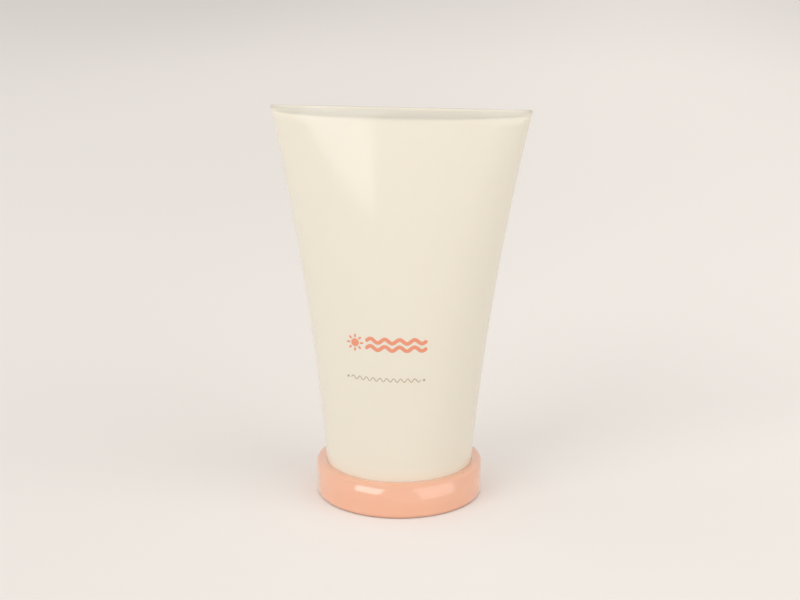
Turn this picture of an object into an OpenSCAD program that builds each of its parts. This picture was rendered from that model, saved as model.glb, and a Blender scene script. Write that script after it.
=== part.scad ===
// Squeeze tube of sun lotion, standing upside down on its low screw cap.
// Millimetres, +Z up, origin at the middle of the cap's foot on the floor.
// The flat sealed tail runs along X, so the printed front faces -Y.

/* [Tube] */
// Height of the whole container, from the floor to the sealed edge
total_h = 84.4; // [70:0.1:120]
// Outer diameter of the round end of the tube, where it enters the cap
tube_d = 31.8; // [28:0.1:44]
// Width of the sealed tail from corner to corner
tail_w = 55.1; // [46:0.1:70]
// Depth of the swelling just below the sealed edge
tail_depth = 17.6; // [10:0.1:26]
// Height over which the swelling closes to the sealed edge
tail_rise = 1.3; // [0.8:0.1:6]
// Thickness of the sealed edge, two walls welded together
seal_t = 1; // [0.6:0.1:2]
// Height of the sealed edge itself
seal_h = 0.5; // [0.3:0.1:3]
// Radius that rounds the swelling into its closing faces
tail_round = 1.2; // [0.3:0.1:2]
// Share of the sideways flare that runs straight, the rest curving outwards
flare_straight = 0.56; // [0.2:0.02:1]
// How late the round end flattens: 1 is at once, 4 is near the tail
flatten_power = 3; // [1:0.1:4]
// How much the sides of the tail draw in to an edge: 0 keeps a plain oval
side_edge = 0.12; // [0:0.01:0.4]
// Wall of the tube
sleeve_wall = 0.7; // [0.4:0.05:1]

/* [Tube head] */
// Depth to which the tube sinks into the ring of the cap
tube_entry = 1.3; // [0.8:0.1:3]
// Height of the shoulder plate above the end of the tube, which makes room for the thread
shoulder_lift = 3.2; // [2.4:0.1:6]
// Thickness of the shoulder plate
shoulder_t = 1; // [0.6:0.1:2]
// Wall of the skirt that is welded into the tube
skirt_wall = 0.8; // [0.5:0.05:1]
// Height of the skirt above the shoulder plate
skirt_h = 2; // [1:0.1:6]
// Width of the shoulder, from the outside of the tube in to the neck
shoulder_w = 5.5; // [4.8:0.1:8]
// Wall of the neck
neck_wall = 1.7; // [1.2:0.1:3]

/* [Thread] */
// Rise of the thread in one turn
thread_pitch = 2; // [1.8:0.1:3]
// Height of each thread ridge above its wall
thread_h = 0.8; // [0.5:0.05:0.9]
// Width of a ridge at its foot
thread_foot_w = 0.95; // [0.6:0.05:1.1]
// Width of a ridge at its crest
thread_crest_w = 0.4; // [0.2:0.05:0.5]
// Turn over which a ridge fades out at each end, in degrees
thread_fade = 30; // [15:5:60]

/* [Orifice insert] */
// Diameter of the hole that the lotion comes out of
orifice_d = 3.6; // [2:0.1:6]
// Thickness of the disc round the hole
orifice_disc_t = 1; // [0.6:0.1:1.6]
// Depth of the disc behind the lip of the neck
orifice_set = 0.4; // [0.1:0.1:1]
// Wall of the insert's skirt
orifice_wall = 0.9; // [0.6:0.1:1.5]
// Length of the insert along the neck
orifice_len = 3.2; // [2.2:0.1:4]
// Width of the ledge in the neck that stops the insert
neck_ledge = 0.6; // [0.4:0.1:1]

/* [Foil seal] */
// Thickness of the peel-off foil on the lip of the neck
foil_t = 0.12; // [0.05:0.01:0.3]
// How far the foil reaches beyond the wall of the neck
foil_overlap = 0.2; // [0:0.05:0.4]

/* [Lotion] */
// Height of the lotion's surface above the floor
fill_z = 70.5; // [40:0.5:74]

/* [Cap] */
// Height of the cap
cap_h = 7.6; // [7.2:0.1:12]
// Wall of the cap at its ring
cap_wall = 2; // [1.2:0.1:4]
// Radius that rounds the ring's upper edge
cap_top_round = 0.7; // [0.3:0.1:1]
// Radius that rounds the cap's lower edge
cap_foot_round = 0.8; // [0.3:0.1:1.4]
// Thickness of the cap's end plate
cap_plate_t = 1.1; // [0.8:0.1:2]
// Depth of the dish in the cap's underside
cap_dish = 0.4; // [0.2:0.1:1]
// Width of the flat ring that the cap stands on
cap_foot_w = 2.6; // [1.5:0.1:5]
// Number of ribs between the ring and the threaded insert
rib_count = 12; // [6:1:24]
// Thickness of a rib
rib_t = 1; // [0.6:0.1:2]

/* [Cap insert] */
// Wall of the threaded insert
insert_wall = 1.6; // [1.2:0.1:1.8]
// Thickness of the insert's floor
insert_floor = 0.8; // [0.5:0.1:1.5]
// Space between the insert's rim and the shoulder plate
insert_gap = 0.5; // [0.3:0.1:1]

/* [Cap liner] */
// Thickness of the foam disc that seals the closed neck
liner_t = 0.8; // [0.5:0.1:1.5]
// Space round the foam disc in the insert
liner_gap = 0.3; // [0.2:0.05:0.5]

/* [Fits] */
// Space between the tube and the ring of the cap
ring_gap = 0.1; // [0.1:0.05:0.8]
// Space between the two threads and the walls that they face
thread_gap = 0.3; // [0.2:0.05:0.4]
// Space where one piece lies on another that turns against it
face_gap = 0.04; // [0.02:0.01:0.1]
// Space between pieces that are pressed or welded together
bond_gap = 0.06; // [0.04:0.01:0.12]
// Space between the lotion and the walls round it
lotion_gap = 0.15; // [0.1:0.05:0.3]

/* [Hidden] */

cream = [0.94, 0.90, 0.82];
warm_white = [0.96, 0.95, 0.92];
peach = [0.97, 0.73, 0.61];
foam_white = [0.93, 0.93, 0.90];
silver = [0.80, 0.81, 0.83];
lotion_white = [1.00, 0.98, 0.93];

// Exact round pieces, and points round the tube and along the threads
$fn = 96;
ring_points = 64;
body_rings = 15;
round_rings = 4;
close_rings = 6;
lotion_rings = 8;
turn_steps = 48;

// How far joined shapes run into each other, and how far a cut runs past what it cuts
overlap = 0.3;
cut = 1;

tube_r = tube_d / 2;
cap_bore_r = tube_r + ring_gap;
cap_r = cap_bore_r + cap_wall;

// Heights, from the floor up
plate_top = cap_dish + cap_plate_t;
insert_floor_top = plate_top + insert_floor;
liner_z = insert_floor_top + face_gap;
foil_z = liner_z + liner_t + face_gap;
lip_z = foil_z + foil_t;
sleeve_z = cap_h - tube_entry;
shoulder_z = sleeve_z + shoulder_lift;
shoulder_top = shoulder_z + shoulder_t;
insert_top = shoulder_z - insert_gap;
rib_top = sleeve_z - insert_gap;

// Radii, from the middle out
neck_r = tube_r - shoulder_w;
neck_bore_r = neck_r - neck_wall;
ledge_r = neck_bore_r - neck_ledge;
plug_r = neck_bore_r - bond_gap;
plug_bore_r = plug_r - orifice_wall;
insert_bore_r = neck_r + thread_h + thread_gap;
insert_r = insert_bore_r + insert_wall;
skirt_r = tube_r - sleeve_wall - bond_gap;

// The male ridge keeps clear of the lip, and the female one lies half a pitch away
lip_clear = 0.2;
shoulder_clear = 0.2;
rim_clear = 0.3;
thread_low = lip_z + lip_clear + thread_foot_w / 2;
male_turns = (shoulder_z - shoulder_clear - thread_foot_w / 2 - thread_low) / thread_pitch;
female_turns = (insert_top - rim_clear - thread_foot_w / 2 - thread_low) / thread_pitch;

// How far a ridge sinks below its wall where it has faded out
fade_sink = 0.05;

// Where the swelling below the sealed edge turns over: the slope it ends at in degrees,
// its height as a share of its depth, and how far the corners spread over it
round_turn = 75;
round_share = 0.6;
round_spread = 0.1;

// Closing faces: the share of their height that rises evenly, and the least height left for them
close_share = 0.6;
close_min = 0.1;

// Sealed edge: how square its ends are, the least half-thickness, and the wall as a share of the sleeve's
seal_power = 0.35;
seal_min = 0.08;
seal_wall_share = 1.6;

// Shape of the tube: t runs from 0 just inside the cap's rim to 1 at the sealed edge
flare_sink = 0.2;
flare_z = cap_h - flare_sink;
tail_r = tail_w / 2;
function half_width(t) = tube_r + (tail_r - tube_r) * (flare_straight * t + (1 - flare_straight) * t * t);
function half_depth(t) = tube_r - (tube_r - tail_depth / 2) * pow(t, flatten_power);
function rise(z) = max(0, (z - flare_z) / (total_h - flare_z));

// One oval of the tube. A power of 1 is an ellipse, more draws the sides in, less squares them.
function oval(a, b, power, z) = [
    for (k = [0 : ring_points - 1])
        let (u = 360 * k / ring_points, s = sin(u))
        [a * cos(u), b * sign(s) * pow(abs(s), power), z]
];

// Ovals that follow the tube between two heights, inset inside its outer face
function wall_rings(z_low, z_high, inset, count) = [
    for (i = [0 : count])
        let (z = z_low + (z_high - z_low) * i / count, t = rise(z))
        oval(half_width(t) - inset, half_depth(t) - inset, 1 + side_edge * t, z)
];

// The same, carried on over the rounded swelling to the closed top
function skin_rings(z_low, inset) =
    let (
        z_top = total_h - inset * seal_wall_share,
        z_rim = total_h - seal_h - tail_rise - inset,
        t_rim = rise(z_rim),
        a_rim = half_width(t_rim) - inset,
        b_rim = half_depth(t_rim) - inset,
        a_top = tail_r - inset,
        b_top = max(seal_t / 2 - inset, seal_min),
        z_weld = max(z_top - seal_h, z_rim + tail_round + close_min),
        power_rim = 1 + side_edge * t_rim,
        b_from = b_rim - tail_round * (1 - cos(round_turn)),
        z_from = z_rim + tail_round * round_share * sin(round_turn)
    )
    concat(
        [oval(tube_r - inset, tube_r - inset, 1, z_low)],
        wall_rings(flare_z, z_rim, inset, body_rings),
        [for (i = [1 : round_rings])
            let (u = round_turn * i / round_rings)
            oval(
                a_rim + round_spread * (1 - cos(u)),
                b_rim - tail_round * (1 - cos(u)),
                power_rim,
                z_rim + tail_round * round_share * sin(u)
            )],
        [for (i = [1 : close_rings])
            let (s = i / close_rings)
            oval(
                a_rim + (a_top - a_rim) * s,
                b_from + (b_top - b_from) * s,
                power_rim + (seal_power - power_rim) * s * s,
                z_from + (z_weld - z_from) * (close_share * s + (1 - close_share) * s * s * s)
            )],
        [oval(a_top, b_top, seal_power, z_top)]
    );

// Triangles between ring after ring, with both ends closed
function skin_faces(rings) = concat(
    [[for (k = [ring_points - 1 : -1 : 0]) k]],
    [for (i = [0 : rings - 2], k = [0 : ring_points - 1])
        let (a = i * ring_points + k, b = i * ring_points + (k + 1) % ring_points)
        [a, b, a + ring_points]],
    [for (i = [0 : rings - 2], k = [0 : ring_points - 1])
        let (a = i * ring_points + k, b = i * ring_points + (k + 1) % ring_points)
        [b, b + ring_points, a + ring_points]],
    [[for (k = [0 : ring_points - 1]) (rings - 1) * ring_points + k]]
);

module skin(rings) {
    polyhedron(points = [for (ring = rings) each ring], faces = skin_faces(len(rings)), convexity = 4);
}

function reversed(list) = [for (i = [len(list) - 1 : -1 : 0]) list[i]];

// A helical ridge on a wall of radius wall_r. side is 1 for outwards and -1 for inwards.
module thread_ridge(wall_r, side, z_low, turns) {
    steps = ceil(turns * turn_steps);
    points = [
        for (i = [0 : steps])
            let (
                angle = 360 * turns * i / steps,
                from_end = min(angle, 360 * turns - angle),
                grown = min(1, from_end / thread_fade),
                z = z_low + thread_pitch * angle / 360,
                foot = thread_foot_w / 2,
                crest = thread_crest_w / 2,
                r_foot = wall_r - side * overlap,
                r_crest = wall_r + side * (thread_h * grown - fade_sink * (1 - grown))
            )
            each [
                for (p = [[r_foot, -foot], [r_crest, -crest], [r_crest, crest], [r_foot, foot]])
                    [p[0] * cos(angle), p[0] * sin(angle), z + p[1]]
            ]
    ];
    sides = [
        for (i = [0 : steps - 1], k = [0 : 3])
            let (a = 4 * i + k, b = 4 * i + (k + 1) % 4)
            each (side > 0 ? [[a, b, a + 4], [b, b + 4, a + 4]] : [[a, a + 4, b], [b, a + 4, b + 4]])
    ];
    last = 4 * steps;
    ends = side > 0
        ? [[3, 2, 1, 0], [last, last + 1, last + 2, last + 3]]
        : [[0, 1, 2, 3], [last + 3, last + 2, last + 1, last]];
    polyhedron(points = points, faces = concat(sides, ends), convexity = 4);
}

// Half the outline of the cap's outside, for turning about Z
module cap_outline() {
    square([cap_r - cap_foot_round, cap_foot_round + overlap]);
    translate([0, cap_foot_round])
        square([cap_r, cap_h - cap_foot_round - cap_top_round]);
    translate([0, cap_foot_round])
        square([cap_r - cap_top_round, cap_h - cap_foot_round]);
    translate([cap_r - cap_foot_round, cap_foot_round])
        circle(r = cap_foot_round);
    translate([cap_r - cap_top_round, cap_h - cap_top_round])
        circle(r = cap_top_round);
}

// The peach outer cap: end plate, ring and ribs
module cap_shell() {
    color(peach) {
        rotate_extrude()
            difference() {
                cap_outline();
                translate([-cut, plate_top])
                    square([cap_bore_r + cut, cap_h]);
                translate([-cut, -cut])
                    square([cap_r - cap_foot_round - cap_foot_w + cut, cap_dish + cut]);
            }
        difference() {
            for (i = [0 : rib_count - 1])
                rotate([0, 0, 360 * (i + 0.5) / rib_count])
                    translate([insert_r - overlap, -rib_t / 2, plate_top - overlap])
                        cube([cap_bore_r - insert_r + 2 * overlap, rib_t, rib_top - plate_top + overlap]);
            translate([0, 0, plate_top - 2 * overlap])
                cylinder(r = insert_r + bond_gap, h = cap_h);
        }
    }
}

// The threaded cup that the cap is screwed on by
module cap_insert() {
    color(warm_white) {
        translate([0, 0, plate_top])
            difference() {
                cylinder(r = insert_r, h = insert_top - plate_top);
                translate([0, 0, insert_floor])
                    cylinder(r = insert_bore_r, h = insert_top);
            }
        rotate([0, 0, 180])
            thread_ridge(insert_bore_r, -1, thread_low, female_turns);
    }
}

// The foam disc that presses on the lip of the neck
module cap_liner() {
    color(foam_white)
        translate([0, 0, liner_z])
            cylinder(r = insert_bore_r - liner_gap, h = liner_t);
}

// Skirt, shoulder plate and threaded neck in one moulding
module tube_head() {
    color(warm_white) {
        rotate_extrude()
            difference() {
                union() {
                    translate([ledge_r, lip_z])
                        square([neck_r - ledge_r, shoulder_top - lip_z]);
                    translate([ledge_r, shoulder_z])
                        square([skirt_r - ledge_r, shoulder_t]);
                    translate([skirt_r - skirt_wall, sleeve_z])
                        square([skirt_wall, shoulder_top + skirt_h - sleeve_z]);
                }
                translate([ledge_r - cut, lip_z - cut])
                    square([neck_ledge + cut, orifice_len + cut]);
            }
        thread_ridge(neck_r, 1, thread_low, male_turns);
    }
}

// The plug in the neck, with the hole that the lotion comes out of
module orifice_insert() {
    disc_z = lip_z + orifice_set;
    color(warm_white)
        rotate_extrude()
            difference() {
                translate([0, disc_z])
                    square([plug_r, orifice_len - orifice_set - bond_gap]);
                translate([-cut, disc_z + orifice_disc_t])
                    square([plug_bore_r + cut, orifice_len]);
                translate([-cut, disc_z - cut])
                    square([orifice_d / 2 + cut, orifice_disc_t + 2 * cut]);
            }
}

// The foil that is peeled off the lip before first use
module foil_seal() {
    color(silver)
        translate([0, 0, foil_z])
            cylinder(r = neck_r + foil_overlap, h = foil_t);
}

// The tube itself, a thin wall that is round at the cap and welded flat at the tail
module tube_sleeve() {
    color(cream)
        skin(concat(reversed(skin_rings(sleeve_z, 0)), skin_rings(sleeve_z, sleeve_wall)));
}

// What the tube holds: it has sunk to the neck and left air below the tail
module sun_lotion() {
    inset = sleeve_wall + lotion_gap;
    floor_z = shoulder_top + lotion_gap;
    skirt_top = shoulder_top + skirt_h + lotion_gap;
    neck_low = lip_z + orifice_len + lotion_gap;
    plug_low = lip_z + orifice_set + orifice_disc_t + lotion_gap;
    color(lotion_white) {
        skin(reversed(wall_rings(skirt_top, fill_z, inset, lotion_rings)));
        translate([0, 0, floor_z])
            cylinder(r = skirt_r - skirt_wall - lotion_gap, h = skirt_top - floor_z + overlap);
        translate([0, 0, neck_low])
            cylinder(r = ledge_r - lotion_gap, h = floor_z - neck_low + overlap);
        translate([0, 0, plug_low])
            cylinder(r = plug_bore_r - lotion_gap, h = neck_low - plug_low + overlap);
    }
}

cap_shell();
cap_insert();
cap_liner();
tube_head();
orifice_insert();
foil_seal();
tube_sleeve();
sun_lotion();
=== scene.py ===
"""Dresses a squeeze tube of sun lotion that stands upside down on its low screw cap.

Sizes are millimetres in the part's own frame: +Z up, the origin at the middle of the cap's
foot, and the printed front facing -Y. Meshes are written in metres, in the same frame.
"""

import logging
import math
from collections.abc import Callable, Sequence
from dataclasses import dataclass, field
from enum import Enum

import bmesh
import bpy
import numpy as np
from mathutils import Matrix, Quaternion, Vector


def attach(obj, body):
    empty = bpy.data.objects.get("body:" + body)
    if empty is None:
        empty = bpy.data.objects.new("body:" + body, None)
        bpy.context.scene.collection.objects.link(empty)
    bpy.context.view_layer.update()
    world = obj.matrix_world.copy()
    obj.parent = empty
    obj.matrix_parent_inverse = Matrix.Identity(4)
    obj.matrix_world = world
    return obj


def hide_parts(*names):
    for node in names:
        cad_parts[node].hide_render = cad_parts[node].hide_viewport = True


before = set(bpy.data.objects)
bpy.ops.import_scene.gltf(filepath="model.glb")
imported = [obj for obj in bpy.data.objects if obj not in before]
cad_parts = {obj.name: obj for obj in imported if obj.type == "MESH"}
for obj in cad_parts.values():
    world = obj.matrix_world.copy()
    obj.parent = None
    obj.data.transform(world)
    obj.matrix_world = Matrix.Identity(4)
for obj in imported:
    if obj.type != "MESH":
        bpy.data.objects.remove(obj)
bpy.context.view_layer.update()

# Metres in a millimetre, and a hair in millimetres
MM = 0.001
HAIR = 0.01
# Range that a noise mostly keeps to, steps in a turn of thread, and the angle of a sharp edge
NOISE_MIDDLE = (0.15, 0.85)
RIDGE_STEPS = 72
SHARP_ABOVE = 32.0
LOG = logging.getLogger("sun_lotion_tube")

Point = tuple[float, float, float]
Colour = tuple[float, float, float]
Pair = tuple[float, float]
Row = list[Point]


class Body(Enum):
    """The moving bodies of the part that a piece can ride on."""

    CAP = "cap"
    LINER = "liner"
    TUBE = "tube"


class Side(Enum):
    """Which way a thread ridge stands off its wall."""

    OUTWARDS = 1
    INWARDS = -1


def linear(colour: Colour) -> tuple[float, float, float, float]:
    """Turns a colour as it looks on screen into the renderer's own linear values.

    Args:
        colour: Red, green and blue from 0 to 1, as seen.

    Returns:
        The linear colour with an alpha of 1.
    """
    straight = [c / 12.92 if c <= 0.04045 else ((c + 0.055) / 1.055) ** 2.4 for c in colour]
    return (*straight, 1.0)


def seen(red: int, green: int, blue: int) -> Colour:
    """Gives a colour from 0 to 1 for one written as whole numbers up to 255."""
    return (red / 255, green / 255, blue / 255)


def eased(share: float) -> float:
    """Turns an even share, held from 0 to 1, into one that starts and ends gently."""
    held = max(0.0, min(1.0, share))
    return held * held * (3 - 2 * held)


def angles_round(count: int) -> list[float]:
    """Gives evenly spread angles round a full turn."""
    return [2 * math.pi * k / count for k in range(count)]


# Materials


class Recipe:
    """The nodes of one material, laid down one after another."""

    def __init__(self, name: str) -> None:
        """Starts an empty material with only its output.

        Args:
            name: Name of the material.
        """
        self.material = bpy.data.materials.new(name)
        self.material.use_nodes = True
        self.tree = self.material.node_tree
        self.tree.nodes.clear()
        self.output = self.tree.nodes.new("ShaderNodeOutputMaterial")
        self.places = self.tree.nodes.new("ShaderNodeTexCoord")

    def node(self, kind: str, **values: object) -> bpy.types.Node:
        """Adds a node and sets its sockets.

        Args:
            kind: Blender's type name, without the words ShaderNode.
            **values: Socket names, with _ for a space, and what they hold or are fed by.

        Returns:
            The new node.
        """
        made = self.tree.nodes.new("ShaderNode" + kind)
        for name, value in values.items():
            self.feed(made.inputs[name.replace("_", " ")], value)
        return made

    def feed(self, socket: bpy.types.NodeSocket, value: object) -> None:
        """Links a socket to another node's output, or sets it to a plain value."""
        if isinstance(value, bpy.types.NodeSocket):
            self.tree.links.new(value, socket)
        else:
            socket.default_value = value

    def noise(self, size: float, detail: float = 2.0, stretch: Point = (1, 1, 1)) -> bpy.types.NodeSocket:
        """Makes soft noise fixed to the piece.

        Args:
            size: Width of its blotches, in millimetres.
            detail: How many finer layers it has.
            stretch: Scale along each axis, where less draws the blotches out.

        Returns:
            The noise, from 0 to 1.
        """
        mapped = self.node("Mapping", Vector=self.places.outputs["Object"], Scale=stretch)
        scale = 1 / (size * MM)
        texture = self.node("TexNoise", Vector=mapped.outputs["Vector"], Scale=scale, Detail=detail)
        return texture.outputs["Fac"]

    def ranged(self, value: bpy.types.NodeSocket, span: Pair, reach: Pair) -> bpy.types.Node:
        """Adds a node that maps a value from one range to another."""
        return self.node(
            "MapRange", Value=value, From_Min=span[0], From_Max=span[1], To_Min=reach[0], To_Max=reach[1]
        )

    def spread(self, value: bpy.types.NodeSocket, low: float, high: float) -> bpy.types.NodeSocket:
        """Maps the wide middle of a noise to the range from low to high."""
        return self.ranged(value, NOISE_MIDDLE, (low, high)).outputs["Result"]

    def tint(self, value: bpy.types.NodeSocket, first: Colour, second: Colour) -> bpy.types.NodeSocket:
        """Blends from one colour to another over the wide middle of a noise."""
        ramp = self.tree.nodes.new("ShaderNodeValToRGB")
        for element, place, colour in zip(ramp.color_ramp.elements, NOISE_MIDDLE, (first, second)):
            element.position = place
            element.color = linear(colour)
        self.feed(ramp.inputs["Fac"], value)
        return ramp.outputs["Color"]

    def relief(self, layers: Sequence[tuple[bpy.types.NodeSocket, float]]) -> bpy.types.NodeSocket:
        """Stacks heights into one surface normal.

        Args:
            layers: Each height from 0 to 1, with its depth in millimetres.

        Returns:
            The normal that all of them give together.
        """
        normal: bpy.types.NodeSocket | None = None
        for height, depth in layers:
            bump = self.node("Bump", Height=height, Distance=depth * MM)
            if normal is not None:
                self.feed(bump.inputs["Normal"], normal)
            normal = bump.outputs["Normal"]
        return normal

    def finish(self, shader: bpy.types.Node) -> bpy.types.Material:
        """Sends the last shader to the output and gives the material."""
        self.tree.links.new(shader.outputs[0], self.output.inputs["Surface"])
        return self.material

    def surface(self, **values: object) -> bpy.types.Material:
        """Ends the material in one plain shader, with the sockets given, and gives it."""
        return self.finish(self.node("BsdfPrincipled", **values))


@dataclass(frozen=True)
class Lacquer:
    """Satin lacquer over a soft plastic tube wall."""

    colour: Colour = seen(238, 230, 214)
    deeper: Colour = seen(237, 229, 212)
    shine: Pair = (0.13, 0.145)
    specular: float = 0.27
    peel: float = 1.6
    peel_depth: float = 0.0022
    grain: float = 0.22
    grain_depth: float = 0.0006

    def build(self, name: str) -> bpy.types.Material:
        """Makes the lacquer, with its orange peel and slight clouding."""
        recipe = Recipe(name)
        cloud = recipe.noise(18, 1, (1, 1, 0.5))
        return recipe.surface(
            Base_Color=recipe.tint(cloud, self.colour, self.deeper),
            Roughness=recipe.spread(recipe.noise(9, 1, (1, 1, 0.4)), *self.shine),
            Specular_IOR_Level=self.specular,
            Subsurface_Weight=0.12,
            Subsurface_Radius=(1.0, 0.62, 0.35),
            Subsurface_Scale=1.2 * MM,
            Normal=recipe.relief(
                [
                    (recipe.noise(self.peel, 1), self.peel_depth),
                    (recipe.noise(self.grain, 2), self.grain_depth),
                ]
            ),
        )


@dataclass(frozen=True)
class GlossMoulding:
    """Polished moulded plastic, faintly clouded and scuffed round its axis."""

    colour: Colour = seen(246, 187, 156)
    deeper: Colour = seen(244, 183, 151)
    shine: Pair = (0.10, 0.14)

    def build(self, name: str) -> bpy.types.Material:
        """Makes the gloss, with flow clouding and hair scuffs that run round the cap."""
        recipe = Recipe(name)
        cloud = recipe.noise(9, 3, (1, 1, 2.5))
        scuffs = recipe.noise(0.7, 3, (0.25, 0.25, 5))
        return recipe.surface(
            Base_Color=recipe.tint(cloud, self.colour, self.deeper),
            Roughness=recipe.spread(recipe.noise(3, 4, (1, 1, 2)), *self.shine),
            Specular_IOR_Level=0.5,
            Coat_Weight=0.9,
            Coat_Roughness=0.05,
            Subsurface_Weight=0.15,
            Subsurface_Radius=(1.0, 0.45, 0.3),
            Subsurface_Scale=1.5 * MM,
            Normal=recipe.relief([(recipe.noise(4, 1), 0.006), (scuffs, 0.0004)]),
        )


@dataclass(frozen=True)
class PlainMoulding:
    """Moulded plastic as it leaves the tool, with a fine spark-eroded grain."""

    colour: Colour
    deeper: Colour
    shine: Pair = (0.42, 0.55)

    def build(self, name: str) -> bpy.types.Material:
        """Makes the plastic, with its grain and slight clouding."""
        recipe = Recipe(name)
        return recipe.surface(
            Base_Color=recipe.tint(recipe.noise(5, 3), self.colour, self.deeper),
            Roughness=recipe.spread(recipe.noise(1.5, 4), *self.shine),
            Specular_IOR_Level=0.45,
            Subsurface_Weight=0.2,
            Subsurface_Radius=(1.0, 0.8, 0.65),
            Subsurface_Scale=1.2 * MM,
            Normal=recipe.relief([(recipe.noise(0.12, 3), 0.003)]),
        )


@dataclass(frozen=True)
class Foam:
    """Closed-cell foam, dull and finely pitted."""

    colour: Colour = seen(236, 236, 229)
    deeper: Colour = seen(222, 221, 213)

    def build(self, name: str) -> bpy.types.Material:
        """Makes the foam from one size of cells, with roughness that varies in soft blotches."""
        recipe = Recipe(name)
        cells = recipe.node("TexVoronoi", Vector=recipe.places.outputs["Object"], Scale=1 / (0.25 * MM))
        return recipe.surface(
            Base_Color=recipe.tint(cells.outputs["Distance"], self.deeper, self.colour),
            Roughness=recipe.spread(recipe.noise(0.8), 0.7, 0.85),
            Specular_IOR_Level=0.3,
            Normal=recipe.relief([(cells.outputs["Distance"], 0.03)]),
        )


@dataclass(frozen=True)
class Foil:
    """Bright rolled foil with a fine rolling grain along one way."""

    colour: Colour = seen(214, 216, 219)
    deeper: Colour = seen(198, 200, 204)

    def build(self, name: str) -> bpy.types.Material:
        """Makes the foil, with its grain and the knurl that the sealing head leaves."""
        recipe = Recipe(name)
        grain = recipe.noise(0.35, 4, (1, 0.04, 1))
        knurl = recipe.node("TexVoronoi", Vector=recipe.places.outputs["Object"], Scale=1 / (0.6 * MM))
        return recipe.surface(
            Base_Color=recipe.tint(grain, self.colour, self.deeper),
            Metallic=1.0,
            Roughness=recipe.spread(grain, 0.22, 0.36),
            Normal=recipe.relief([(knurl.outputs["Distance"], 0.01), (grain, 0.002)]),
        )


@dataclass(frozen=True)
class Cream:
    """Thick white lotion with a wet sheen."""

    colour: Colour = seen(252, 249, 240)
    deeper: Colour = seen(248, 243, 231)

    def build(self, name: str) -> bpy.types.Material:
        """Makes the lotion, with the soft folds that it settles in."""
        recipe = Recipe(name)
        folds = recipe.noise(7, 2)
        return recipe.surface(
            Base_Color=recipe.tint(folds, self.colour, self.deeper),
            Roughness=recipe.spread(folds, 0.18, 0.3),
            Subsurface_Weight=0.5,
            Subsurface_Radius=(1.0, 0.9, 0.75),
            Subsurface_Scale=2.5 * MM,
            Normal=recipe.relief([(folds, 0.15)]),
        )


@dataclass(frozen=True)
class Ink:
    """Screen-printed ink, a little uneven where the mesh let it through."""

    colour: Colour
    deeper: Colour

    def build(self, name: str) -> bpy.types.Material:
        """Makes the ink, with the faint weave of the printing screen."""
        recipe = Recipe(name)
        weave = recipe.noise(0.14, 1)
        return recipe.surface(
            Base_Color=recipe.tint(recipe.noise(0.5, 3), self.colour, self.deeper),
            Roughness=recipe.spread(weave, 0.3, 0.42),
            Specular_IOR_Level=0.3,
            Normal=recipe.relief([(weave, 0.002)]),
        )


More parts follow.
